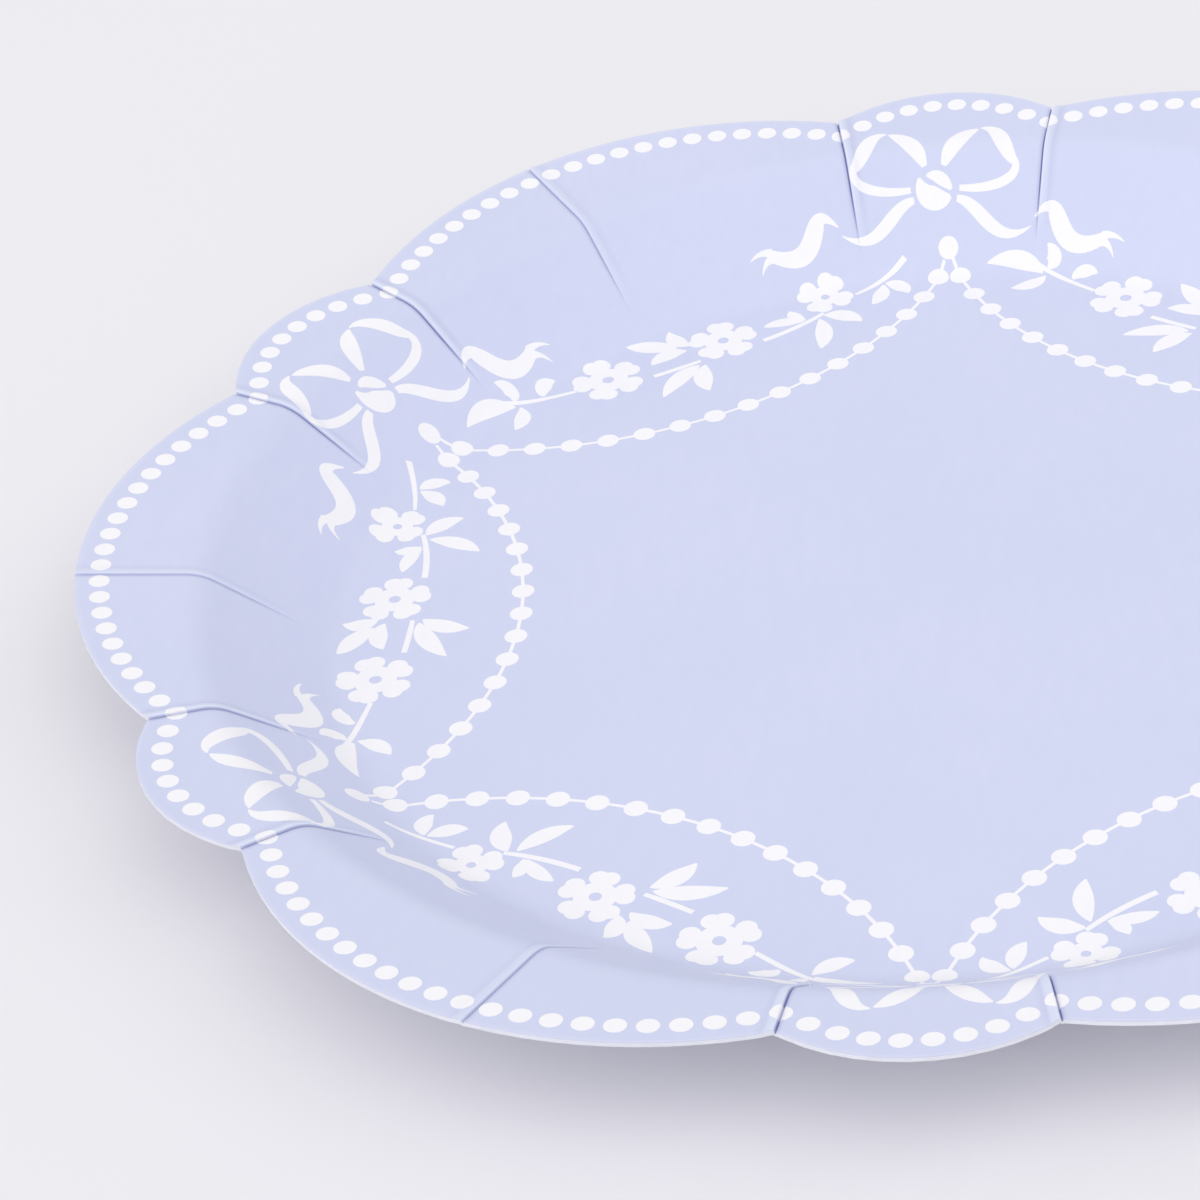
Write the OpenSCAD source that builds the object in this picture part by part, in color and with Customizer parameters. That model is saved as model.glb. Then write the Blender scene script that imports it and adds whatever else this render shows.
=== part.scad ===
// Scalloped paper side plate: a pressed white board, a lilac face sheet laminated to it,
// and a white print of pearls, swags, ribbon bows and flower garlands.
// Millimetres. The origin is the middle of the underside, +Z is up, and a bow lobe points along +Y.

/* [Outline] */
// Width across two opposite wide lobes
overall_w = 210; // [175:1:252]
// How far a wide lobe stands out past the notches beside it
wide_lobe_rise = 7.6; // [6.3:0.1:9.2]
// How far a bow lobe stands out past the notches beside it
bow_lobe_rise = 4.5; // [3.7:0.1:5.4]
// Angle between the two notches of a bow lobe
bow_lobe_angle = 17.4; // [14.5:0.1:20.9]

/* [Dish] */
// Height from the floor's underside to the crest, the corner between the wall and the lip
crest_rise = 11.8; // [9.8:0.1:14.2]
// Slope of the wall, in degrees
wall_slope = 38; // [31.5:0.5:46]
// Distance from a wide lobe's tip in to the crest
lip_w = 15.3; // [12.7:0.1:18.4]
// Slope of the lip up towards the edge, in degrees
lip_slope = 6; // [5:0.1:7.2]
// Radius of the bend from the floor up into the wall
foot_bend_r = 7.1; // [5.9:0.1:8.5]
// Radius of the bend at the crest
crest_bend_r = 6; // [5:0.1:7.2]

/* [Paper] */
// Thickness of the white board
board_t = 0.5; // [0.4:0.05:0.8]
// Thickness of the lilac face sheet
sheet_t = 0.1; // [0.08:0.01:0.15]
// Thickness of the white ink
ink_t = 0.05; // [0.04:0.01:0.08]

/* [Pleats] */
// Width of a pressed pleat
pleat_w = 0.5; // [0.3:0.05:0.8]
// Depth of a pressed pleat in the board
pleat_depth = 0.15; // [0.1:0.01:0.25]
// How far a pleat runs in from the crest
pleat_reach = 12.4; // [10.3:0.1:14.9]
// Angle from the middle of a wide lobe to the pleat across it
middle_pleat_turn = 3; // [0:0.1:6]

/* [Pearl border] */
// Diameter of a border pearl
pearl_d = 2.55; // [2:0.05:3.1]
// Distance between two border pearls
pearl_pitch = 3.4; // [3.2:0.05:4.2]
// Distance from the plate's edge to a pearl's middle
pearl_inset = 3; // [2.5:0.1:3.6]

/* [Pearl swags] */
// Diameter of a swag pearl
swag_pearl_d = 2.85; // [2.2:0.05:3.4]
// Diameter of the pearl that two swags hang from
end_pearl_d = 2.7; // [2.2:0.05:3.3]
// How far that pearl sits in from the ends of the two strings
end_pearl_in = 0.7; // [0:0.1:1.2]
// Number of pearls between two ends
swag_count = 17; // [13:1:19]
// Width of the string
string_w = 0.45; // [0.3:0.05:0.7]
// Distance from the crest in to a swag's end
swag_inset = 11.4; // [9.5:0.1:13.7]
// Dip of a swag below the line between its ends
swag_sag = 16; // [13:0.1:19.2]

/* [Bows] */
// Width across a bow's two loops
bow_w = 22; // [18:0.5:26.5]
// Distance from the crest in to the middle of the knot
bow_inset = 5.3; // [4.4:0.1:6.4]
// How far the knot sits to the left of the middle of its lobe
bow_shift = 1.5; // [0:0.1:2]

/* [Garlands] */
// Distance from the middle of a knot in to the middle of the garland, at the bow's drawn size
garland_drop = 15.3; // [14.9:0.1:16.4]
// Share of the way between two bow lobes that a garland fills
garland_fill = 0.84; // [0.7:0.01:0.86]

/* [Hidden] */
$fn = 96;
lobes = 6;
sector = 360 / lobes;
half_bow = bow_lobe_angle / 2;
half_wide = sector / 2 - half_bow;

// Radii, from the edge inwards
edge_r = overall_w / 2;
notch_r = edge_r - wide_lobe_rise;
crest_r = edge_r - lip_w;
foot_r = crest_r - crest_rise / tan(wall_slope);
floor_r = foot_r - foot_bend_r * tan(wall_slope / 2);
pleat_inner_r = crest_r - pleat_reach;
swag_end_r = crest_r - swag_inset;
end_pearl_r = swag_end_r - end_pearl_in;
bow_r = crest_r - bow_inset;

// Heights above the underside, measured along the paper's thickness
face_h = board_t + sheet_t;
ink_h = face_h + ink_t;

// Room past the edge and the faces for the shapes that trim a layer
trim = 2;
// The lip's run to that room, outwards and up
lip_run = (lip_w + trim) * [1, tan(lip_slope)];
trim_h = crest_rise + lip_run[1] + ink_h + trim;
// Steps in the foot's bend, in the crest's bend, and along one side of a brush stroke
foot_steps = 6;
crest_steps = 4;
stroke_steps = 7;
// Gap between two swags' prints
print_gap = 0.2;

// Outline of the plate
// Radius of the arc through two notches and the tip of the lobe between them
function lobe_r(half, rise) =
    let (h = notch_r * sin(half), s = notch_r * (1 - cos(half)) + rise)
    (h * h + s * s) / (2 * s);
wide_r = lobe_r(half_wide, wide_lobe_rise);
wide_c = notch_r + wide_lobe_rise - wide_r;
bow_lobe_r = lobe_r(half_bow, bow_lobe_rise);
bow_lobe_c = notch_r + bow_lobe_rise - bow_lobe_r;

// Distance from the plate's middle to a lobe's arc, at an angle from the lobe's middle
function reach(c, r, a) = c * cos(a) + sqrt(r * r - pow(c * sin(a), 2));

module at_wide_lobe(i) rotate(sector * (i - 1)) children();
module at_bow_lobe(i) rotate(sector * (i - 1) + sector / 2) children();

module outline() {
    circle(floor_r);
    for (i = [1:lobes]) {
        at_wide_lobe(i) translate([wide_c, 0]) circle(wide_r);
        at_bow_lobe(i) translate([bow_lobe_c, 0]) circle(bow_lobe_r);
    }
}

// Pleats at every notch and across every wide lobe
module at_pleats() {
    for (i = [1:lobes], a = [-half_wide, middle_pleat_turn, half_wide]) at_wide_lobe(i) rotate(a) children();
}
module pleats() {
    at_pleats() translate([pleat_inner_r, -pleat_w / 2]) square([edge_r, pleat_w]);
}

// Middle of the crest's bend
crest_tangent = crest_bend_r * tan((wall_slope - lip_slope) / 2);
crest_c = [
    crest_r - crest_tangent * cos(wall_slope) + crest_bend_r * sin(wall_slope),
    crest_rise - crest_tangent * sin(wall_slope) - crest_bend_r * cos(wall_slope)
];
// Point of the crest's bend where the paper slopes by a, d above the underside
function crest_point(d, a) = crest_c + (crest_bend_r + d) * [-sin(a), cos(a)];

// Profile of the dish, d above the underside
function dish(d) = concat(
    [[0, d]],
    [for (k = [0:foot_steps]) let (a = wall_slope * k / foot_steps)
        [floor_r + (foot_bend_r - d) * sin(a), foot_bend_r - (foot_bend_r - d) * cos(a)]],
    [for (k = [0:crest_steps]) crest_point(d, wall_slope + (lip_slope - wall_slope) * k / crest_steps)],
    [crest_point(d, lip_slope) + lip_run]
);
// First and last profile point of a stretch: the floor with the wall, the crest with the lip,
// and the whole dish
wall_top = foot_steps + 2;
dish_end = wall_top + crest_steps + 1;
floor_and_wall = [0, wall_top];
crest_and_lip = [wall_top, dish_end];
whole_dish = [0, dish_end];
function profile(d, span) = [for (k = [span[0]:span[1]]) dish(d)[k]];
function reversed(p) = [for (k = [len(p) - 1:-1:0]) p[k]];

// The part of a stretch between two heights that lies over a flat drawing
module layer(low, high, span = whole_dish) {
    intersection() {
        rotate_extrude() polygon(concat(profile(low, span), reversed(profile(high, span))));
        translate([0, 0, -trim]) linear_extrude(trim_h + trim) children();
    }
}

// Straight cuts along the pleats, from a height up
module grooves(low) {
    at_pleats() translate([0, pleat_w / 2, 0]) rotate([90, 0, 0]) linear_extrude(pleat_w) intersection() {
        polygon(concat(dish(low), reversed(dish(low + trim))));
        translate([pleat_inner_r, 0]) square([edge_r, trim_h]);
    }
}

// White ink over a flat drawing, broken at the pleats
module ink(span) {
    color([0.97, 0.97, 0.99]) layer(face_h, ink_h, span) difference() {
        children();
        pleats();
    }
}

// Brush strokes: a curve with four control points, and a half width that goes from w[0] to w[1]
// and is w[2] wider in the middle. s scales the drawing.
function curve(p, t) =
    pow(1 - t, 3) * p[0] + 3 * t * pow(1 - t, 2) * p[1] + 3 * t * t * (1 - t) * p[2] + pow(t, 3) * p[3];
function heading(p, t) =
    pow(1 - t, 2) * (p[1] - p[0]) + 2 * t * (1 - t) * (p[2] - p[1]) + t * t * (p[3] - p[2]);
function half_width(w, t) = (1 - t) * w[0] + t * w[1] + 4 * t * (1 - t) * w[2];
function side_point(p, w, t, side) =
    let (h = heading(p, t), n = [-h[1], h[0]] / norm(h))
    curve(p, t) + side * half_width(w, t) * n;
module stroke(p, w, s) {
    left = [for (k = [0:stroke_steps]) side_point(p, w, k / stroke_steps, 1)];
    right = [for (k = [stroke_steps:-1:0]) side_point(p, w, k / stroke_steps, -1)];
    polygon(s * concat(left, right));
}
module mirrored() {
    children();
    mirror([1, 0]) children();
}

// A flower of heart-shaped petals round an open eye, turned by a. s scales the drawing.
petal_out = 2.8;
// Shares of a petal's angle from its middle to a lobe's middle, and of its arc to a lobe's radius
petal_spread = 0.15;
petal_fill = 0.28;
flower_core_r = 2.1;
flower_eye_r = 0.62;
module flower(petals, a, s) {
    petal_lobe_r = petal_fill * petal_out * 2 * PI / petals;
    difference() {
        union() {
            circle(s * flower_core_r);
            for (k = [1:petals], b = [-petal_spread, petal_spread]) {
                rotate(a + (k + b) * 360 / petals) translate([s * petal_out, 0]) circle(s * petal_lobe_r);
            }
        }
        circle(s * flower_eye_r);
    }
}

// Half of a bow, drawn for loops bow_drawn_w across, with x along the edge and y outwards
bow_drawn_w = 22;
bow_scale = bow_w / bow_drawn_w;
bow_half = [
    // Inner ribbon of the loop
    [[[1.3, 2.7], [2.2, 5], [4.2, 7.4], [6.2, 8.2]], [0.35, 0.1, 0.95]],
    // Side and bottom of the outer ribbon
    [[[6.5, 8.4], [9.4, 8.2], [9, 4.6], [10.9, 2.4]], [0.1, 0.5, 0.8]],
    [[[10.3, 3.4], [12.9, 0.6], [8.6, -0.7], [3.3, 0]], [0.35, 0.35, 0.25]],
    // Tail down to its turn
    [[[2.9, -1.2], [6.4, -1.8], [7.4, -7.8], [12.8, -5.4]], [0.4, 0.05, 0.6]],
    // Waving end of the tail
    [[[13.3, -4.4], [18.6, -0.6], [14, -10.4], [22.6, -8.5]], [0.1, 0.7, 0.8]],
    // Two points of the cut end
    [[[22.3, -8.2], [23.4, -8.2], [24.4, -8.6], [25.2, -9.6]], [0.55, 0.05, 0]],
    [[[22.3, -8.9], [22.9, -9.1], [23.4, -9.8], [23.6, -11]], [0.55, 0.05, 0]]
];
bow_knot = [
    // Lower and upper fold of the knot
    [[[-2.1, 1.4], [-1.9, -1.2], [0.5, -1.5], [2.1, -0.9]], [0.2, 0.25, 1.2]],
    [[[-1.1, 1.6], [0.3, 1.9], [1.5, 0.9], [2.2, -0.1]], [0.15, 0.2, 0.6]]
];

// A garland, drawn for a span of garland_drawn_w, with x along the garland and y outwards
garland_drawn_w = 67;
garland_r = bow_r - garland_drop * bow_scale;
garland_scale = 2 * garland_r * tan(sector / 2) * garland_fill / garland_drawn_w;
garland_strokes = [
    // Stem and four leaves before the first flower
    [[[-27, 1.4], [-24, 0.8], [-20.5, 0.2], [-17.2, -0.5]], [0.3, 0.3, 0.05]],
    [[[-25.6, 0.4], [-27.4, 1.4], [-30.6, 1.2], [-33.2, -1.2]], [0.1, 0.1, 1.1]],
    [[[-25.4, 1.5], [-24.6, 2.2], [-25, 3.6], [-26.7, 4]], [0.2, 0.1, 0.85]],
    [[[-25, 0.1], [-25.2, -1.8], [-26.2, -3.2], [-27.8, -4.2]], [0.1, 0.1, 1]],
    [[[-21.2, 0.9], [-21.2, 2.4], [-20, 3.2], [-18.6, 3]], [0.2, 0.1, 0.9]],
    // Leaves over and under the stem of the second flower
    [[[-1.4, 1], [-2.6, 2.6], [-4.6, 3.6], [-7, 4.9]], [0.1, 0.1, 1.2]],
    [[[0.4, 0.7], [-0.6, 2], [-1, 3.4], [-0.6, 5]], [0.1, 0.1, 1.1]],
    [[[-0.6, -0.3], [-2.2, 0.6], [-4.4, 0.4], [-6, -0.7]], [0.1, 0.1, 1.1]],
    [[[-7, -3.4], [-4.6, -3.6], [-2.4, -3.7], [-0.2, -3.7]], [0.35, 0.3, 0.05]],
    [[[-0.8, -4.6], [-3, -5], [-5.8, -6.4], [-8.2, -8.8]], [0.1, 0.1, 1.2]],
    [[[-0.1, -5], [-1.6, -6.6], [-2.4, -8.6], [-2.5, -11]], [0.1, 0.1, 1.2]],
    // Stem and leaves of the third flower
    [[[9, -4.2], [12.4, -4.2], [15.8, -3.8], [18.8, -2.9]], [0.4, 0.3, 0.05]],
    [[[15.6, -3.1], [14.4, -1.9], [12.4, -1.3], [10.6, -1.2]], [0.1, 0.1, 0.9]],
    [[[16, -3], [15.2, -1.8], [15, -0.8], [15.3, 0.3]], [0.1, 0.1, 0.8]],
    [[[17.6, -3.9], [17.2, -6.4], [16, -8.8], [14.3, -10.6]], [0.1, 0.1, 1.1]],
    [[[18.6, -3.4], [20.2, -4.2], [21.6, -5.6], [22, -7.8]], [0.1, 0.1, 1.2]],
    // Stem and two leaves after the third flower
    [[[24.6, -1.2], [27.6, -1], [30.4, -0.6], [33.2, 0.3]], [0.25, 0.4, 0]],
    [[[28.7, -1.5], [28, -3], [26.8, -4.2], [25.2, -4.8]], [0.1, 0.1, 1]],
    [[[29.1, -1.4], [30.4, -2.4], [31, -3.8], [30.5, -5.2]], [0.1, 0.1, 1]]
];
// Middle, number of petals, turn and size of each flower
garland_flowers = [
    [[-12.4, -0.5], 5, 90, 1.28],
    [[4.6, -0.9], 5, 70, 1.22],
    [[20.9, 0.6], 4, 45, 0.95]
];

module base_board() {
    color([0.94, 0.94, 0.95]) difference() {
        layer(0, board_t) outline();
        grooves(board_t - pleat_depth);
    }
}

module face_sheet() {
    color([0.835, 0.855, 0.957]) layer(board_t, face_h) difference() {
        outline();
        pleats();
    }
}

// A row of pearls along each lobe, inset from its arc, with one pearl on every notch
function pearl_steps(half, c, r) = round(reach(c, r - pearl_inset, 0) * half * PI / 90 / pearl_pitch);
wide_steps = pearl_steps(half_wide, wide_c, wide_r);
bow_steps = pearl_steps(half_bow, bow_lobe_c, bow_lobe_r);
module pearl_row(half, c, r, first, steps) {
    for (k = [first:steps - first]) {
        a = half * (2 * k / steps - 1);
        rotate(a) translate([reach(c, r - pearl_inset, a), 0]) circle(d = pearl_d);
    }
}
module pearl_border() {
    ink(crest_and_lip) for (i = [1:lobes]) {
        at_wide_lobe(i) pearl_row(half_wide, wide_c, wide_r, 0, wide_steps);
        at_bow_lobe(i) pearl_row(half_bow, bow_lobe_c, bow_lobe_r, 1, bow_steps);
    }
}

// A string of pearls on an arc between two ends. Each swag owns the end pearl on its left.
end_x = swag_end_r * cos(sector / 2);
end_y = swag_end_r * sin(sector / 2);
swag_r = (end_y * end_y + swag_sag * swag_sag) / (2 * swag_sag);
swag_c = end_x - swag_sag + swag_r;
swag_turn = asin(end_y / swag_r);
module swag_string() {
    intersection() {
        translate([swag_c, 0]) difference() {
            circle(swag_r + string_w / 2);
            circle(swag_r - string_w / 2);
        }
        translate([0, -end_y]) square([end_x + string_w, 2 * end_y]);
    }
}
module swag_pearls() {
    for (k = [1:swag_count]) {
        a = swag_turn * (2 * k / (swag_count + 1) - 1);
        translate([swag_c - swag_r * cos(a), swag_r * sin(a)]) circle(d = swag_pearl_d);
    }
}
// The pearl at one side's end, 1 on the left and -1 on the right
module at_end_pearl(side) rotate(side * sector / 2) translate([end_pearl_r, 0]) children();
module pearl_swag(i) {
    ink(floor_and_wall) at_wide_lobe(i) {
        difference() {
            union() {
                swag_string();
                swag_pearls();
            }
            at_end_pearl(-1) circle(d = end_pearl_d + 2 * print_gap);
        }
        at_end_pearl(1) circle(d = end_pearl_d);
    }
}

module ribbon_bow(i) {
    ink(whole_dish) at_bow_lobe(i) translate([bow_r, bow_shift]) rotate(-90) {
        mirrored() for (b = bow_half) stroke(b[0], b[1], bow_scale);
        for (b = bow_knot) stroke(b[0], b[1], bow_scale);
    }
}

module flower_garland(i) {
    ink(floor_and_wall) at_wide_lobe(i) translate([garland_r, 0]) rotate(-90) {
        for (b = garland_strokes) stroke(b[0], b[1], garland_scale);
        for (f = garland_flowers) translate(garland_scale * f[0]) flower(f[1], f[2], garland_scale * f[3]);
    }
}

base_board();
face_sheet();
pearl_border();
for (i = [1:lobes]) {
    pearl_swag(i);
    ribbon_bow(i);
    flower_garland(i);
}
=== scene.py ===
# Scalloped paper side plate: pressed white board, lilac face sheet and white print
import math

import bpy
import numpy as np
from mathutils import Matrix, Vector
from mathutils.geometry import delaunay_2d_cdt


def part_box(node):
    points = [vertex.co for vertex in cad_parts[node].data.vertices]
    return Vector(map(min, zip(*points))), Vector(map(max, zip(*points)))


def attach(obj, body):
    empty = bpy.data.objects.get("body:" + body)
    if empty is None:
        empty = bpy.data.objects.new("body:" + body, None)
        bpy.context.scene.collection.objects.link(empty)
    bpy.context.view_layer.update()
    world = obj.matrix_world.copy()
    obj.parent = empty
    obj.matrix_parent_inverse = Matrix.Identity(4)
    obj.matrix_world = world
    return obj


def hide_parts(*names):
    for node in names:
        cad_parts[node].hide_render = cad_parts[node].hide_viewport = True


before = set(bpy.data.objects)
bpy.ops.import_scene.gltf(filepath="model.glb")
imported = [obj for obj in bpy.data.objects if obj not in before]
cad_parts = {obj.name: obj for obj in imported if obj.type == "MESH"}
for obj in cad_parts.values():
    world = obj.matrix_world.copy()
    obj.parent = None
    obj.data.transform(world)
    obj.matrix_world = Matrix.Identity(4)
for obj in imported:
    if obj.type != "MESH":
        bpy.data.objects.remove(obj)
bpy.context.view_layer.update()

MM = 0.001

# Outline, in millimetres: six wide lobes with a narrow bow lobe between each two
LOBES = 6
SECTOR = math.radians(360 / LOBES)
EDGE_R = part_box("base_board")[1].x / MM
WIDE_LOBE_RISE = 7.6
BOW_LOBE_RISE = 4.5
BOW_LOBE_ANGLE = math.radians(17.4)
HALF_BOW = BOW_LOBE_ANGLE / 2
HALF_WIDE = SECTOR / 2 - HALF_BOW
NOTCH_R = EDGE_R - WIDE_LOBE_RISE

# Dish: a flat floor, a sloping wall and a lip that rises to the edge, with a bend at foot and crest
CREST_RISE = 11.8
WALL_SLOPE = math.radians(38)
LIP_W = 15.3
LIP_SLOPE = math.radians(6)
FOOT_BEND_R = 7.1
CREST_BEND_R = 6.0
CREST_R = EDGE_R - LIP_W
FOOT_R = CREST_R - CREST_RISE / math.tan(WALL_SLOPE)
FLOOR_R = FOOT_R - FOOT_BEND_R * math.tan(WALL_SLOPE / 2)
# Middle of the crest's bend
CREST_TANGENT = CREST_BEND_R * math.tan((WALL_SLOPE - LIP_SLOPE) / 2)
CREST_C_R = CREST_R - CREST_TANGENT * math.cos(WALL_SLOPE) + CREST_BEND_R * math.sin(WALL_SLOPE)
CREST_C_Z = CREST_RISE - CREST_TANGENT * math.sin(WALL_SLOPE) - CREST_BEND_R * math.cos(WALL_SLOPE)

# Layers, measured up from the underside
BOARD_T = 0.5
SHEET_T = 0.1
FACE_H = BOARD_T + SHEET_T
INK_LIFT = 0.03
INK_SINK = 0.02

# Cross-section of a pleat at FOLD_R: distance along the edge, and height of the folded paper
FOLD_R = 100.0
FOLD_X = (-2.4, -1.4, -1.1, -0.95, -0.5, -0.22, -0.12, -0.03, 0.12, 0.22, 0.8)
FOLD_H = (0.0, 0.03, 0.1, 0.2, 0.24, 0.26, 0.2, -0.26, -0.28, -0.05, 0.0)
# Where the fold's skin is stretched pale under a painted highlight along its ridge, and the painted shade
# where its foot is creased
RIDGE_STRETCH_AND_HIGHLIGHT_MASK = (0.0, 0.0, 0.2, 0.4, 0.5, 1.0, 1.0, 0.0, 0.0, 0.0, 0.0)
CREASE_SHADE_MASK = (0.0, 0.12, 0.0, 0.0, 0.0, 0.0, 0.1, 1.0, 1.0, 0.1, 0.0)
# Where a pleat starts, and how far it takes to reach its full height
PLEAT_INNER_R = 77.0
PLEAT_FADE = 9.0
# Strength of a pleat at a notch, of one near the middle of a wide lobe, and of either on the underside
NOTCH_PLEAT = 1.0
MIDDLE_PLEAT = 0.55
BACK_FOLD = 0.4
MIDDLE_PLEAT_TURN = math.radians(3)
PLEATS = [
    (i * SECTOR + a, strength)
    for i in range(LOBES)
    for a, strength in (
        (-HALF_WIDE, NOTCH_PLEAT),
        (MIDDLE_PLEAT_TURN, MIDDLE_PLEAT),
        (HALF_WIDE, NOTCH_PLEAT),
    )
]

# Mesh steps: columns and rows of the dish, and points of the printed outlines
COLUMN_STEP = math.radians(1.6)
FOOT_ROWS = 10
WALL_ROWS = 12
CREST_ROWS = 8
LIP_ROWS = 16
FLOOR_ROWS = (20.0, 40.0, 56.0)
STROKE_STEPS = 26
CIRCLE_STEPS = 36
FILM_STEP = 0.65
MERGE_WITHIN = 1e-5
# Width of the rubbed face along the cut edge
CUT_WEAR_W = 0.6


def lobe_arc(half, rise):
    """Middle and radius of the arc through two notches and the tip of the lobe between them."""
    h = NOTCH_R * math.sin(half)
    s = NOTCH_R * (1 - math.cos(half)) + rise
    r = (h * h + s * s) / (2 * s)
    return NOTCH_R + rise - r, r


WIDE_ARC = lobe_arc(HALF_WIDE, WIDE_LOBE_RISE)
BOW_ARC = lobe_arc(HALF_BOW, BOW_LOBE_RISE)


def reach(arc, a, inset=0.0):
    """Distance from the plate's middle to a lobe's arc, at an angle from the lobe's middle."""
    c, r = arc
    return c * np.cos(a) + np.sqrt((r - inset) ** 2 - (c * np.sin(a)) ** 2)


def wrap(a):
    """The same angle, within half a turn of zero."""
    return (a + math.pi) % (2 * math.pi) - math.pi


def edge_radius(theta):
    """Distance from the middle to the scalloped edge."""
    wide = (theta + SECTOR / 2) % SECTOR - SECTOR / 2
    bow = theta % SECTOR - SECTOR / 2
    in_wide = np.abs(wide) <= HALF_WIDE
    wide_r = reach(WIDE_ARC, np.where(in_wide, wide, 0))
    bow_r = reach(BOW_ARC, np.where(in_wide, 0, bow))
    return np.where(in_wide, wide_r, bow_r)


def dish(r, d):
    """Height of the layer d above the underside."""
    foot = FOOT_BEND_R - d
    crest = CREST_BEND_R + d
    foot_z = FOOT_BEND_R - np.sqrt(np.maximum(foot ** 2 - (r - FLOOR_R) ** 2, 0))
    wall_z = (r - FOOT_R) * math.tan(WALL_SLOPE) + d / math.cos(WALL_SLOPE)
    crest_z = CREST_C_Z + np.sqrt(np.maximum(crest ** 2 - (r - CREST_C_R) ** 2, 0))
    lip_z = CREST_RISE + (r - CREST_R) * math.tan(LIP_SLOPE) + d / math.cos(LIP_SLOPE)
    foot_end = FLOOR_R + foot * math.sin(WALL_SLOPE)
    wall_end = CREST_C_R - crest * math.sin(WALL_SLOPE)
    crest_end = CREST_C_R - crest * math.sin(LIP_SLOPE)
    ends = (FLOOR_R, foot_end, wall_end, crest_end)
    return np.select([r <= end for end in ends], [np.full_like(r, d), foot_z, wall_z, crest_z], lip_z)


def along_pleats(theta, r, values):
    """Sum over the pleats of a cross-section, faded out towards the floor."""
    t = np.clip((r - PLEAT_INNER_R) / PLEAT_FADE, 0, 1)
    total = np.zeros_like(r)
    for angle, strength in PLEATS:
        total += strength * np.interp(wrap(theta - angle) * FOLD_R, FOLD_X, values, 0, 0)
    return total * t * t * (3 - 2 * t)


def face_height(x, y):
    """Height of the folded face over a point of the plan."""
    r = np.hypot(x, y)
    theta = np.arctan2(y, x)
    return dish(r, FACE_H) + along_pleats(theta, r, FOLD_H)


def grid_columns():
    """Angles of the mesh columns: every kink of every pleat, and even steps between."""
    kinks = np.array(FOLD_X) / FOLD_R
    angles = []
    middles = sorted(a for a, _ in PLEATS)
    for a, b in zip(middles, middles[1:] + [middles[0] + 2 * math.pi]):
        angles.extend(a + kinks)
        start = a + kinks[-1]
        stop = b + kinks[0]
        count = max(1, round((stop - start) / COLUMN_STEP))
        angles.extend(start + (stop - start) * k / count for k in range(1, count))
    return np.array(angles)


def grid_radii(theta):
    """Radii of the mesh rows over each column: circles up to the lip, then on to the edge."""
    foot = FLOOR_R + (FOOT_BEND_R - FACE_H) * np.sin(np.linspace(0, WALL_SLOPE, FOOT_ROWS + 1))
    crest = CREST_C_R - (CREST_BEND_R + FACE_H) * np.sin(np.linspace(WALL_SLOPE, LIP_SLOPE, CREST_ROWS + 1))
    wall = np.linspace(foot[-1], crest[0], WALL_ROWS + 1)[1:-1]
    circles = np.concatenate([FLOOR_ROWS, foot, wall, crest])
    share = np.linspace(0, 1, LIP_ROWS + 1)[1:, None]
    lip = crest[-1] + (edge_radius(theta)[None, :] - crest[-1]) * share
    return np.vstack([np.repeat(circles[:, None], len(theta), axis=1), lip])


def add_object(name, verts, faces, smooth, sharp_rings, masks):
    """A mesh piece from millimetre vertices, with hard edges along rings and masks at its vertices."""
    mesh = bpy.data.meshes.new(name)
    mesh.from_pydata((np.asarray(verts) * MM).tolist(), [], faces)
    mesh.polygons.foreach_set("use_smooth", smooth)
    ring = np.zeros(len(verts), int)
    for k, members in enumerate(sharp_rings):
        ring[members] = k + 1
    ends = np.empty(len(mesh.edges) * 2, int)
    mesh.edges.foreach_get("vertices", ends)
    ends = ring[ends.reshape(-1, 2)]
    sharp = mesh.attributes.new("sharp_edge", "BOOLEAN", "EDGE")
    sharp.data.foreach_set("value", (ends[:, 0] > 0) & (ends[:, 0] == ends[:, 1]))
    for key, values in masks.items():
        layer = mesh.attributes.new(key, "FLOAT", "POINT")
        layer.data.foreach_set("value", np.asarray(values, np.float32))
    mesh.validate()
    mesh.update()
    piece = bpy.data.objects.new(name, mesh)
    bpy.context.scene.collection.objects.link(piece)
    return piece


def sheet_faces(rows, columns):
    """Faces of a closed sheet: a fan at the middle and rows of quads on both sides, and the cut edge."""
    count = rows * columns
    top_middle = 2 * count
    bottom_middle = top_middle + 1
    faces = []
    for k in range(columns):
        n = (k + 1) % columns
        faces.append((top_middle, k, n))
        faces.append((bottom_middle, count + n, count + k))
        for row in range(rows - 1):
            a, b = row * columns + k, row * columns + n
            c, d = b + columns, a + columns
            faces.append((a, d, c, b))
            faces.append((count + a, count + b, count + c, count + d))
        a, b = (rows - 1) * columns + k, (rows - 1) * columns + n
        faces.append((a, count + a, count + b, b))
    return faces


def pleat_masks(theta, r):
    """Masks of the painted highlight along the folds' pale stretched skin, and of the painted shade in
    their creased feet.
    """
    return {"ridge": along_pleats(theta, r, RIDGE_STRETCH_AND_HIGHLIGHT_MASK), "crease_shade": along_pleats(theta, r, CREASE_SHADE_MASK)}


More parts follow.
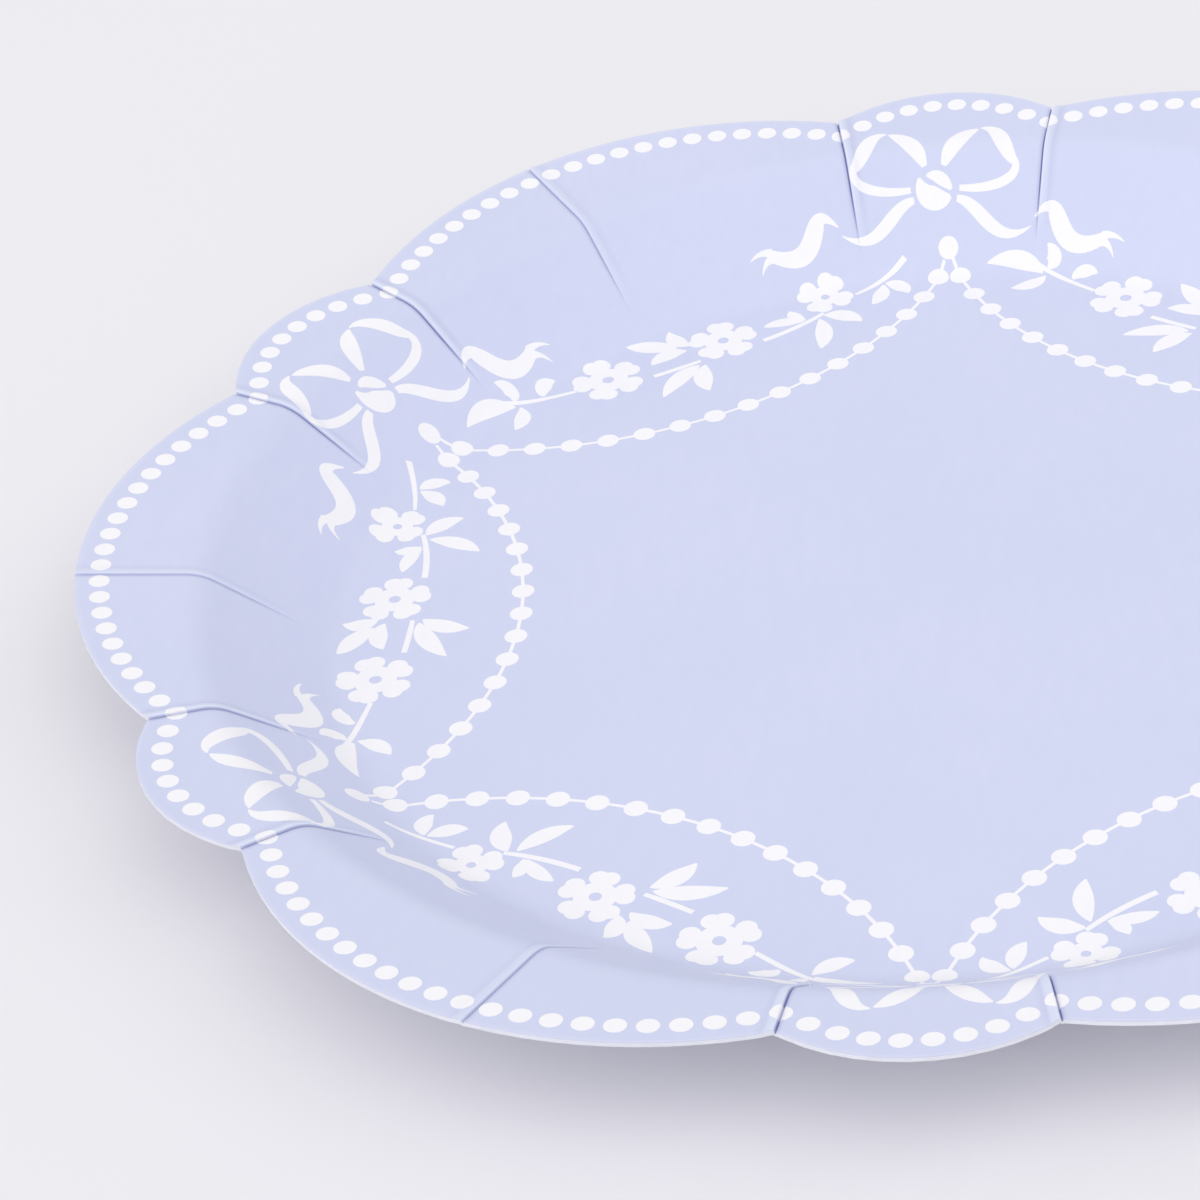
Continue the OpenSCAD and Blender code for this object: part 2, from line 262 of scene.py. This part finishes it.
def add_plate_layer(name, low, high, low_fold, material):
    """A closed sheet of the dish between two layers, cut at the scalloped edge."""
    theta = grid_columns()
    radii = grid_radii(theta)
    rows, columns = radii.shape
    around = np.repeat(theta[None, :], rows, axis=0)
    fold = along_pleats(around, radii, FOLD_H)
    x = radii * np.cos(around)
    y = radii * np.sin(around)
    top = np.stack([x, y, dish(radii, high) + fold], axis=-1).reshape(-1, 3)
    bottom = np.stack([x, y, dish(radii, low) + low_fold * fold], axis=-1).reshape(-1, 3)
    count = rows * columns
    verts = np.vstack([top, bottom, [[0, 0, high], [0, 0, low]]])
    faces = sheet_faces(rows, columns)
    outer = np.arange((rows - 1) * columns, count)
    masks = pleat_masks(around, radii)
    masks["cut"] = np.clip(1 - (radii[-1][None, :] - radii) / CUT_WEAR_W, 0, 1)
    masks = {key: np.concatenate([v.ravel(), v.ravel(), [0, 0]]) for key, v in masks.items()}
    smooth = np.ones(len(faces), bool)
    piece = add_object(name, verts, faces, smooth, [outer, count + outer], masks)
    piece.data.materials.append(material)
    return piece


# Printed figures, in millimetres
PEARL_D = 2.55
PEARL_PITCH = 3.4
PEARL_INSET = 3.0
SWAG_PEARL_D = 2.85
END_PEARL_D = 2.7
END_PEARL_IN = 0.7
SWAG_COUNT = 17
STRING_W = 0.45
SWAG_INSET = 11.4
SWAG_END_R = CREST_R - SWAG_INSET
SWAG_SAG = 16.0
PRINT_GAP = 0.2
BOW_INSET = 5.3
BOW_R = CREST_R - BOW_INSET
BOW_SHIFT = 1.5
GARLAND_DROP = 15.3
GARLAND_R = BOW_R - GARLAND_DROP
GARLAND_DRAWN_W = 67.0
GARLAND_FILL = 0.84
GARLAND_SCALE = 2 * GARLAND_R * math.tan(SECTOR / 2) * GARLAND_FILL / GARLAND_DRAWN_W

# Brush strokes: four control points, and a half width from start to end with what is added in the middle.
# Half of a bow, with x along the edge and y outwards
BOW_HALF = (
    # Inner ribbon of the loop
    (((1.3, 2.7), (2.2, 5.0), (4.2, 7.4), (6.2, 8.2)), (0.35, 0.1, 0.95)),
    # Side and bottom of the outer ribbon
    (((6.5, 8.4), (9.4, 8.2), (9.0, 4.6), (10.9, 2.4)), (0.1, 0.5, 0.8)),
    (((10.3, 3.4), (12.9, 0.6), (8.6, -0.7), (3.3, 0.0)), (0.35, 0.35, 0.25)),
    # Tail down to its turn
    (((2.9, -1.2), (6.4, -1.8), (7.4, -7.8), (12.8, -5.4)), (0.4, 0.05, 0.6)),
    # Waving end of the tail
    (((13.3, -4.4), (18.6, -0.6), (14.0, -10.4), (22.6, -8.5)), (0.1, 0.7, 0.8)),
    # Two points of the cut end
    (((22.3, -8.2), (23.4, -8.2), (24.4, -8.6), (25.2, -9.6)), (0.55, 0.05, 0.0)),
    (((22.3, -8.9), (22.9, -9.1), (23.4, -9.8), (23.6, -11.0)), (0.55, 0.05, 0.0)),
)
BOW_KNOT = (
    # Lower and upper fold of the knot
    (((-2.1, 1.4), (-1.9, -1.2), (0.5, -1.5), (2.1, -0.9)), (0.2, 0.25, 1.2)),
    (((-1.1, 1.6), (0.3, 1.9), (1.5, 0.9), (2.2, -0.1)), (0.15, 0.2, 0.6)),
)
# A garland, with x along it and y outwards
GARLAND_STROKES = (
    # Stem and four leaves before the first flower
    (((-27.0, 1.4), (-24.0, 0.8), (-20.5, 0.2), (-17.2, -0.5)), (0.3, 0.3, 0.05)),
    (((-25.6, 0.4), (-27.4, 1.4), (-30.6, 1.2), (-33.2, -1.2)), (0.1, 0.1, 1.1)),
    (((-25.4, 1.5), (-24.6, 2.2), (-25.0, 3.6), (-26.7, 4.0)), (0.2, 0.1, 0.85)),
    (((-25.0, 0.1), (-25.2, -1.8), (-26.2, -3.2), (-27.8, -4.2)), (0.1, 0.1, 1.0)),
    (((-21.2, 0.9), (-21.2, 2.4), (-20.0, 3.2), (-18.6, 3.0)), (0.2, 0.1, 0.9)),
    # Leaves over and under the stem of the second flower
    (((-1.4, 1.0), (-2.6, 2.6), (-4.6, 3.6), (-7.0, 4.9)), (0.1, 0.1, 1.2)),
    (((0.4, 0.7), (-0.6, 2.0), (-1.0, 3.4), (-0.6, 5.0)), (0.1, 0.1, 1.1)),
    (((-0.6, -0.3), (-2.2, 0.6), (-4.4, 0.4), (-6.0, -0.7)), (0.1, 0.1, 1.1)),
    (((-7.0, -3.4), (-4.6, -3.6), (-2.4, -3.7), (-0.2, -3.7)), (0.35, 0.3, 0.05)),
    (((-0.8, -4.6), (-3.0, -5.0), (-5.8, -6.4), (-8.2, -8.8)), (0.1, 0.1, 1.2)),
    (((-0.1, -5.0), (-1.6, -6.6), (-2.4, -8.6), (-2.5, -11.0)), (0.1, 0.1, 1.2)),
    # Stem and leaves of the third flower
    (((9.0, -4.2), (12.4, -4.2), (15.8, -3.8), (18.8, -2.9)), (0.4, 0.3, 0.05)),
    (((15.6, -3.1), (14.4, -1.9), (12.4, -1.3), (10.6, -1.2)), (0.1, 0.1, 0.9)),
    (((16.0, -3.0), (15.2, -1.8), (15.0, -0.8), (15.3, 0.3)), (0.1, 0.1, 0.8)),
    (((17.6, -3.9), (17.2, -6.4), (16.0, -8.8), (14.3, -10.6)), (0.1, 0.1, 1.1)),
    (((18.6, -3.4), (20.2, -4.2), (21.6, -5.6), (22.0, -7.8)), (0.1, 0.1, 1.2)),
    # Stem and two leaves after the third flower
    (((24.6, -1.2), (27.6, -1.0), (30.4, -0.6), (33.2, 0.3)), (0.25, 0.4, 0.0)),
    (((28.7, -1.5), (28.0, -3.0), (26.8, -4.2), (25.2, -4.8)), (0.1, 0.1, 1.0)),
    (((29.1, -1.4), (30.4, -2.4), (31.0, -3.8), (30.5, -5.2)), (0.1, 0.1, 1.0)),
)
# Middle, number of petals, turn in degrees and size of each flower
GARLAND_FLOWERS = (
    ((-12.4, -0.5), 5, 90, 1.28),
    ((4.6, -0.9), 5, 70, 1.22),
    ((20.9, 0.6), 4, 45, 0.95),
)
PETAL_OUT = 2.8
PETAL_SPREAD = 0.15
PETAL_FILL = 0.28
FLOWER_CORE_R = 2.1
FLOWER_EYE_R = 0.62


def turned(points, a):
    """Points of the plan, turned about the plate's middle."""
    c, s = math.cos(a), math.sin(a)
    return np.asarray(points, float) @ np.array([[c, s], [-s, c]])


def circle(middle, r):
    """Outline of a round spot."""
    a = np.linspace(0, 2 * math.pi, CIRCLE_STEPS, endpoint=False)
    return np.column_stack([middle[0] + r * np.cos(a), middle[1] + r * np.sin(a)])


def stroke(points, widths):
    """Outline of a brush stroke, up its left side and back down its right."""
    p = np.array(points)
    t = np.linspace(0, 1, STROKE_STEPS + 1)[:, None]
    u = 1 - t
    spine = u ** 3 * p[0] + 3 * t * u ** 2 * p[1] + 3 * t ** 2 * u * p[2] + t ** 3 * p[3]
    heading = u ** 2 * (p[1] - p[0]) + 2 * t * u * (p[2] - p[1]) + t ** 2 * (p[3] - p[2])
    across = np.column_stack([-heading[:, 1], heading[:, 0]]) / np.linalg.norm(heading, axis=1)[:, None]
    half = u * widths[0] + t * widths[1] + 4 * t * u * widths[2]
    return np.vstack([spine + half * across, (spine - half * across)[::-1]])


def both_sides(outlines):
    """Outlines with their mirror images across the figure's middle."""
    return list(outlines) + [o * (-1, 1) for o in outlines]


def flower(middle, petals, turn, size):
    """Outlines of a flower's petals and of its open eye."""
    middle = np.array(middle)
    lobe_r = PETAL_FILL * PETAL_OUT * 2 * math.pi / petals
    solids = [circle(middle, size * FLOWER_CORE_R)]
    for k in range(petals):
        for side in (-PETAL_SPREAD, PETAL_SPREAD):
            a = math.radians(turn) + (k + side) * 2 * math.pi / petals
            out = PETAL_OUT * np.array([math.cos(a), math.sin(a)])
            solids.append(circle(middle + size * out, size * lobe_r))
    return solids, circle(middle, size * FLOWER_EYE_R)


def facing_out(outlines, r, a):
    """Outlines drawn with x along the edge and y outwards, put at radius r and angle a."""
    return [turned(np.column_stack([r + o[:, 1], -o[:, 0]]), a) for o in outlines]


def bow_figure():
    """Outlines of the bow after the first wide lobe; it has no holes."""
    drawn = both_sides([stroke(*s) for s in BOW_HALF]) + [stroke(*s) for s in BOW_KNOT]
    return facing_out([o - (BOW_SHIFT, 0) for o in drawn], BOW_R, SECTOR / 2), []


def garland_figure():
    """Outlines of the first wide lobe's garland, and of the eyes of its flowers."""
    solids = [stroke(*s) for s in GARLAND_STROKES]
    eyes = []
    for f in GARLAND_FLOWERS:
        petals, eye = flower(*f)
        solids += petals
        eyes.append(eye)
    return tuple(facing_out([GARLAND_SCALE * o for o in group], GARLAND_R, 0) for group in (solids, eyes))


def swag_figure():
    """String and pearls of the first wide lobe's swag, cut clear of the end pearl before it."""
    out = np.array([math.cos(SECTOR / 2), math.sin(SECTOR / 2)])
    end = SWAG_END_R * out
    r = (end[1] ** 2 + SWAG_SAG ** 2) / (2 * SWAG_SAG)
    middle = end[0] - SWAG_SAG + r
    turn = math.asin(end[1] / r)
    a = np.linspace(-turn, turn, 4 * STROKE_STEPS + 1)
    across = np.column_stack([-np.cos(a), np.sin(a)])
    string = np.vstack([(r + STRING_W / 2) * across, ((r - STRING_W / 2) * across)[::-1]]) + (middle, 0)
    steps = [turn * (2 * k / (SWAG_COUNT + 1) - 1) for k in range(1, SWAG_COUNT + 1)]
    pearls = [circle((middle - r * math.cos(s), r * math.sin(s)), SWAG_PEARL_D / 2) for s in steps]
    end_pearl = (SWAG_END_R - END_PEARL_IN) * out
    holes = [circle(end_pearl * (1, -1), END_PEARL_D / 2 + PRINT_GAP)]
    return [string, circle(end_pearl, END_PEARL_D / 2)] + pearls, holes


def border_figure():
    """Pearls along one wide lobe and the bow lobe after it, one on every notch."""
    pearls = []
    for arc, half, middle, first in ((WIDE_ARC, HALF_WIDE, 0, 0), (BOW_ARC, HALF_BOW, SECTOR / 2, 1)):
        steps = round(reach(arc, 0, PEARL_INSET) * 2 * half / PEARL_PITCH)
        for k in range(first, steps + 1 - first):
            a = half * (2 * k / steps - 1)
            r = reach(arc, a, PEARL_INSET)
            pearls.append(circle(r * np.array([math.cos(middle + a), math.sin(middle + a)]), PEARL_D / 2))
    return pearls, []


def inside(points, outline):
    """Which points lie inside a closed outline."""
    x, y = points[:, 0:1], points[:, 1:2]
    a, b = outline, np.roll(outline, -1, axis=0)
    crosses = (a[:, 1] > y) != (b[:, 1] > y)
    rise = np.where(b[:, 1] == a[:, 1], 1, b[:, 1] - a[:, 1])
    at = a[:, 0] + (y - a[:, 1]) * (b[:, 0] - a[:, 0]) / rise
    return np.sum(crosses & (x < at), axis=1) % 2 == 1


def in_figure(points, solids, holes):
    """Which points lie inside a figure and outside its holes."""
    found = np.zeros(len(points), bool)
    for outline in solids:
        found |= inside(points, outline)
    for outline in holes:
        found &= ~inside(points, outline)
    return found


def triangulate(solids, holes):
    """Triangles that fill a figure, with points along every kink of the pleats that cross it."""
    points, edges = [], []
    for outline in solids + holes:
        first = len(points)
        points.extend(outline)
        edges.extend((first + k, first + (k + 1) % len(outline)) for k in range(len(outline)))
    drawn = np.array(points)
    r = np.hypot(drawn[:, 0], drawn[:, 1])
    theta = np.arctan2(drawn[:, 1], drawn[:, 0])
    rows = np.arange(r.min(), r.max() + FILM_STEP, FILM_STEP)
    grid = np.meshgrid(rows, np.arange(theta.min(), theta.max(), FILM_STEP / r.mean()))
    extra = np.column_stack([(grid[0] * np.cos(grid[1])).ravel(), (grid[0] * np.sin(grid[1])).ravel()])
    points.extend(extra[in_figure(extra, solids, holes)])
    pleat_rows = rows[rows > PLEAT_INNER_R]
    for angle, _ in PLEATS:
        for kink in FOLD_X:
            a = wrap(angle + kink / FOLD_R)
            if len(pleat_rows) > 1 and theta.min() < a < theta.max():
                first = len(points)
                points.extend(np.column_stack([pleat_rows * math.cos(a), pleat_rows * math.sin(a)]))
                edges.extend((first + k, first + k + 1) for k in range(len(pleat_rows) - 1))
    result = delaunay_2d_cdt([Vector(p) for p in points], edges, [], 0, MERGE_WITHIN)
    flat = np.array([tuple(v) for v in result[0]])
    triangles = np.array([tuple(f) for f in result[2]])
    kept = triangles[in_figure(flat[triangles].mean(axis=1), solids, holes)]
    used, kept = np.unique(kept, return_inverse=True)
    return flat[used], kept.reshape(-1, 3)


def add_film(name, flat, triangles, material):
    """A closed film of ink that lies on the face over a filled figure."""
    a, b, c = (flat[triangles[:, k]] for k in range(3))
    cross = (b[:, 0] - a[:, 0]) * (c[:, 1] - a[:, 1]) - (b[:, 1] - a[:, 1]) * (c[:, 0] - a[:, 0])
    triangles = np.where((cross > 0)[:, None], triangles, triangles[:, ::-1])
    z = face_height(flat[:, 0], flat[:, 1])
    count = len(flat)
    verts = np.vstack([np.column_stack([flat, z + INK_LIFT]), np.column_stack([flat, z - INK_SINK])])
    sides = np.vstack([triangles[:, [0, 1]], triangles[:, [1, 2]], triangles[:, [2, 0]]])
    known = {tuple(s) for s in sides.tolist()}
    rim = [s for s in sides.tolist() if (s[1], s[0]) not in known]
    faces = triangles.tolist() + (triangles[:, ::-1] + count).tolist()
    faces += [(p, p + count, q + count, q) for p, q in rim]
    smooth = np.arange(len(faces)) < 2 * len(triangles)
    outer = np.unique(np.array(rim))
    around = np.arctan2(flat[:, 1], flat[:, 0])
    radii = np.hypot(flat[:, 0], flat[:, 1])
    masks = {key: np.tile(values, 2) for key, values in pleat_masks(around, radii).items()}
    piece = add_object(name, verts, faces, smooth, [outer, outer + count], masks)
    piece.data.materials.append(material)
    return piece


def linear(red, green, blue):
    """Scene colour of an 8-bit screen colour."""
    shares = [v / 255 for v in (red, green, blue)]
    return tuple(v / 12.92 if v <= 0.04045 else ((v + 0.055) / 1.055) ** 2.4 for v in shares) + (1.0,)


def new_material(name):
    """A material with its node tree and its shader."""
    material = bpy.data.materials.new(name)
    material.use_nodes = True
    shader = material.node_tree.nodes["Principled BSDF"]
    return material, material.node_tree, shader


def noise(tree, scale, detail, stretch=(1, 1, 1)):
    """Noise in the object's own metres; scale is waves a metre."""
    place = tree.nodes.new("ShaderNodeTexCoord")
    mapping = tree.nodes.new("ShaderNodeMapping")
    mapping.inputs["Scale"].default_value = stretch
    tree.links.new(place.outputs["Object"], mapping.inputs["Vector"])
    node = tree.nodes.new("ShaderNodeTexNoise")
    node.inputs["Scale"].default_value = scale
    node.inputs["Detail"].default_value = detail
    tree.links.new(mapping.outputs["Vector"], node.inputs["Vector"])
    return node.outputs["Fac"]


def ranged(tree, value, low, high):
    """A noise value spread over low to high."""
    node = tree.nodes.new("ShaderNodeMapRange")
    node.inputs["From Min"].default_value = NOISE_LOW
    node.inputs["From Max"].default_value = NOISE_HIGH
    node.inputs["To Min"].default_value = low
    node.inputs["To Max"].default_value = high
    tree.links.new(value, node.inputs["Value"])
    return node.outputs["Result"]


def mixed(tree, factor, first, second):
    """Colour mix; each side is a colour or a socket."""
    node = tree.nodes.new("ShaderNodeMix")
    node.data_type = "RGBA"
    tree.links.new(factor, node.inputs["Factor"])
    for side, socket in ((first, node.inputs["A"]), (second, node.inputs["B"])):
        if isinstance(side, tuple):
            socket.default_value = side
        else:
            tree.links.new(side, socket)
    return node.outputs["Result"]


def maths(tree, operation, *values):
    """A sum worked out in the shader; each value is a number or a socket."""
    node = tree.nodes.new("ShaderNodeMath")
    node.operation = operation
    for socket, value in zip(node.inputs, values):
        if isinstance(value, float):
            socket.default_value = value
        else:
            tree.links.new(value, socket)
    return node.outputs["Value"]


def mask(tree, name, share):
    """A share of one of the mesh's masks."""
    node = tree.nodes.new("ShaderNodeAttribute")
    node.attribute_name = name
    return maths(tree, "MULTIPLY", node.outputs["Fac"], share)


def bumped(tree, shader, height, depth):
    """Bump of a real depth in metres."""
    node = tree.nodes.new("ShaderNodeBump")
    node.inputs["Distance"].default_value = depth
    tree.links.new(height, node.inputs["Height"])
    tree.links.new(node.outputs["Normal"], shader.inputs["Normal"])


# Grain of paper: pressed fibres, the tooth of the coating and slow clouds, in waves a metre
FIBRE_SCALE = 700
TOOTH_SCALE = 2600
CLOUD_SCALE = 28
FLOOR_CLOUD_SCALE = 3
FIBRE_STRETCH = (1.0, 0.3, 1.0)
FINE_DETAIL = 3.0
CLOUD_DETAIL = 2.0
# Part of the noise's range that is used
NOISE_LOW = 0.3
NOISE_HIGH = 0.7

# Lilac paper: its clouds, its fibres, a painted highlight where it is stretched over a fold, painted shade
# where it is creased, and where it is rubbed, each with its strength
LILAC_CLOUDS = linear(211, 216, 243), linear(214, 218, 245)
LILAC_FIBRE = linear(203, 209, 239)
LILAC_FIBRE_SHARE = 0.22
# Painted highlight along each fold's ridge, over the pale of its stretched skin
LILAC_RIDGE_STRETCH_AND_HIGHLIGHT = linear(230, 237, 254)
LILAC_RIDGE_STRETCH_AND_HIGHLIGHT_SHARE = 0.75
# Painted shade in the crease at each fold's foot
LILAC_CREASE_SHADE = linear(84, 92, 166)
LILAC_CREASE_SHADE_SHARE = 0.8
LILAC_CUT = linear(228, 232, 249)
LILAC_CUT_SHARE = 0.3
LILAC_ROUGHNESS = 0.46, 0.58
LILAC_FIBRE_HEIGHT = 0.8
LILAC_BUMP = 0.000012

# White ink: full, thin over a fibre, and with painted shade where it crosses a fold's crease
INK_WHITE = linear(251, 250, 254)
INK_THIN = linear(244, 243, 252)
INK_THIN_SHARE = 0.3
INK_CREASE_SHADE = linear(140, 147, 200)
INK_CREASE_SHADE_SHARE = 0.7
INK_ROUGHNESS = 0.4, 0.52
INK_BUMP = 0.000008
SATIN_SPECULAR = 0.4

# White board: its clouds and its fibres
BOARD_CLOUDS = linear(236, 237, 247), linear(241, 241, 250)
BOARD_FIBRE = linear(225, 226, 237)
BOARD_FIBRE_SHARE = 0.5
BOARD_ROUGHNESS = 0.75, 0.9
BOARD_SPECULAR = 0.25
BOARD_BUMP = 0.00003

# Table
FLOOR_CLOUDS = linear(236, 235, 240), linear(238, 237, 242)
FLOOR_ROUGHNESS = 0.9
FLOOR_SPECULAR = 0.1


def face_material():
    """Satin lilac paper: faint clouds and fibres, a painted highlight along each fold's pale stretched
    ridge, painted shade in each fold's creased foot, and pale where the cut has rubbed it.
    """
    material, tree, shader = new_material("lilac_paper")
    fibres = noise(tree, FIBRE_SCALE, FINE_DETAIL, FIBRE_STRETCH)
    clouds = noise(tree, CLOUD_SCALE, CLOUD_DETAIL)
    tooth = noise(tree, TOOTH_SCALE, FINE_DETAIL)
    colour = mixed(tree, ranged(tree, clouds, 0, 1), *LILAC_CLOUDS)
    colour = mixed(tree, ranged(tree, fibres, 0, LILAC_FIBRE_SHARE), colour, LILAC_FIBRE)
    # Painted highlight along the folds' ridges, over their pale stretched skin
    colour = mixed(tree, mask(tree, "ridge", LILAC_RIDGE_STRETCH_AND_HIGHLIGHT_SHARE), colour, LILAC_RIDGE_STRETCH_AND_HIGHLIGHT)
    # Painted shade in the folds' creases
    colour = mixed(tree, mask(tree, "crease_shade", LILAC_CREASE_SHADE_SHARE), colour, LILAC_CREASE_SHADE)
    colour = mixed(tree, mask(tree, "cut", LILAC_CUT_SHARE), colour, LILAC_CUT)
    tree.links.new(colour, shader.inputs["Base Color"])
    tree.links.new(ranged(tree, tooth, *LILAC_ROUGHNESS), shader.inputs["Roughness"])
    shader.inputs["Specular IOR Level"].default_value = SATIN_SPECULAR
    raised = maths(tree, "MULTIPLY", fibres, LILAC_FIBRE_HEIGHT)
    bumped(tree, shader, maths(tree, "ADD", tooth, raised), LILAC_BUMP)
    return material


def ink_material():
    """White satin print, a little thin where the paper's fibres stand up, with painted shade over the
    folds' creases.
    """
    material, tree, shader = new_material("white_ink")
    fibres = noise(tree, FIBRE_SCALE, FINE_DETAIL, FIBRE_STRETCH)
    tooth = noise(tree, TOOTH_SCALE, FINE_DETAIL)
    colour = mixed(tree, ranged(tree, fibres, 0, INK_THIN_SHARE), INK_WHITE, INK_THIN)
    # Painted shade where the print crosses a fold's crease
    colour = mixed(tree, mask(tree, "crease_shade", INK_CREASE_SHADE_SHARE), colour, INK_CREASE_SHADE)
    tree.links.new(colour, shader.inputs["Base Color"])
    tree.links.new(ranged(tree, tooth, *INK_ROUGHNESS), shader.inputs["Roughness"])
    shader.inputs["Specular IOR Level"].default_value = SATIN_SPECULAR
    bumped(tree, shader, tooth, INK_BUMP)
    return material


def board_material():
    """Uncoated white pulp board with visible fibres."""
    material, tree, shader = new_material("white_board")
    fibres = noise(tree, FIBRE_SCALE, FINE_DETAIL, FIBRE_STRETCH)
    clouds = noise(tree, CLOUD_SCALE, CLOUD_DETAIL)
    tooth = noise(tree, TOOTH_SCALE, FINE_DETAIL)
    colour = mixed(tree, ranged(tree, clouds, 0, 1), *BOARD_CLOUDS)
    colour = mixed(tree, ranged(tree, fibres, 0, BOARD_FIBRE_SHARE), colour, BOARD_FIBRE)
    tree.links.new(colour, shader.inputs["Base Color"])
    tree.links.new(ranged(tree, tooth, *BOARD_ROUGHNESS), shader.inputs["Roughness"])
    shader.inputs["Specular IOR Level"].default_value = BOARD_SPECULAR
    bumped(tree, shader, maths(tree, "ADD", tooth, fibres), BOARD_BUMP)
    return material


def floor_material():
    """Plain pale table."""
    material, tree, shader = new_material("pale_floor")
    clouds = noise(tree, FLOOR_CLOUD_SCALE, CLOUD_DETAIL)
    colour = mixed(tree, ranged(tree, clouds, 0, 1), *FLOOR_CLOUDS)
    tree.links.new(colour, shader.inputs["Base Color"])
    shader.inputs["Roughness"].default_value = FLOOR_ROUGHNESS
    shader.inputs["Specular IOR Level"].default_value = FLOOR_SPECULAR
    return material


def hold(piece, node):
    """The piece stands for a solid of the frame."""
    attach(piece, "root")
    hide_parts(node)


# The plate and its print
board = add_plate_layer("board", 0.0, BOARD_T, BACK_FOLD, board_material())
hold(board, "base_board")
face = add_plate_layer("face", BOARD_T, FACE_H, 1.0, face_material())
hold(face, "face_sheet")

ink = ink_material()
border_flat, border_triangles = triangulate(*border_figure())
flat = np.vstack([turned(border_flat, i * SECTOR) for i in range(LOBES)])
triangles = np.vstack([border_triangles + i * len(border_flat) for i in range(LOBES)])
hold(add_film("pearls", flat, triangles, ink), "pearl_border")
for name, node, figure in (
    ("swag", "pearl_swag", swag_figure()),
    ("bow", "ribbon_bow", bow_figure()),
    ("garland", "flower_garland", garland_figure()),
):
    flat, triangles = triangulate(*figure)
    for i in range(LOBES):
        film = add_film(f"{name}_{i + 1}", turned(flat, i * SECTOR), triangles, ink)
        hold(film, f"{node}_{i + 1}")

# Floor, in metres: half its side, and a hair below the plate so that the two faces don't coincide
FLOOR_HALF = 3.0
FLOOR_Z = -0.00005
floor_mesh = bpy.data.meshes.new("floor")
corners = [(x * FLOOR_HALF, y * FLOOR_HALF, FLOOR_Z) for x, y in ((-1, -1), (1, -1), (1, 1), (-1, 1))]
floor_mesh.from_pydata(corners, [], [(0, 1, 2, 3)])
floor_mesh.materials.append(floor_material())
floor = bpy.data.objects.new("floor", floor_mesh)
bpy.context.scene.collection.objects.link(floor)

# Camera at the photograph's place: turn of the plate, height of the view, roll and offset
FRAME_PX = 1200
FOCAL_PX = 4468
SENSOR_MM = 36.0
PLATE_TURN = math.radians(-9.28)
VIEW_RISE = math.radians(34.22)
VIEW_ROLL = math.radians(-8.51)
VIEW_OFFSET = Vector((41.55, -1.26, 543.86))
CLIP_START = 0.01
level = Matrix((
    (1, 0, 0),
    (0, -math.sin(VIEW_RISE), -math.cos(VIEW_RISE)),
    (0, math.cos(VIEW_RISE), -math.sin(VIEW_RISE)),
))
to_camera = Matrix.Rotation(VIEW_ROLL, 3, "Z") @ level @ Matrix.Rotation(PLATE_TURN, 3, "Z")
eye = -(to_camera.transposed() @ VIEW_OFFSET) + Vector((0, 0, FACE_H))
axes = Matrix((to_camera[0], -to_camera[1], -to_camera[2])).transposed()
camera_data = bpy.data.cameras.new("camera")
camera_data.sensor_width = SENSOR_MM
camera_data.lens = SENSOR_MM * FOCAL_PX / FRAME_PX
camera_data.clip_start = CLIP_START
camera = bpy.data.objects.new("camera", camera_data)
camera.matrix_world = Matrix.Translation(eye * MM) @ axes.to_4x4()
bpy.context.scene.collection.objects.link(camera)
bpy.context.scene.camera = camera

# Soft studio light: a faint glow, and soft boxes that each fade with the angle from their middle.
# Each box: degrees from the camera's right towards the back, degrees up, and strength.
GLOW = 0.02
BOX_FALL = 3.0
SOFT_BOXES = (
    (0, 55, 0.42),
    (270, 55, 1.35),
    (0, 15, 0.60),
    (90, 15, 0.71),
    (180, 15, 1.50),
)
world = bpy.data.worlds.new("studio")
world.use_nodes = True
tree = world.node_tree
toward = tree.nodes.new("ShaderNodeTexCoord").outputs["Generated"]
light = GLOW
for turn, rise, strength in SOFT_BOXES:
    tilt = Matrix.Rotation(math.radians(turn), 3, "Z") @ Matrix.Rotation(-math.radians(rise), 3, "Y")
    facing = tree.nodes.new("ShaderNodeVectorMath")
    facing.operation = "DOT_PRODUCT"
    facing.inputs[1].default_value = Matrix.Rotation(-PLATE_TURN, 3, "Z") @ tilt @ Vector((1, 0, 0))
    tree.links.new(toward, facing.inputs[0])
    front = maths(tree, "MAXIMUM", facing.outputs["Value"], 0.0)
    light = maths(tree, "MULTIPLY_ADD", maths(tree, "POWER", front, BOX_FALL), strength, light)
sky = tree.nodes["Background"]
sky.inputs["Color"].default_value = (1.0, 1.0, 1.0, 1.0)
tree.links.new(light, sky.inputs["Strength"])
bpy.context.scene.world = world

bpy.context.scene.view_settings.view_transform = "Standard"
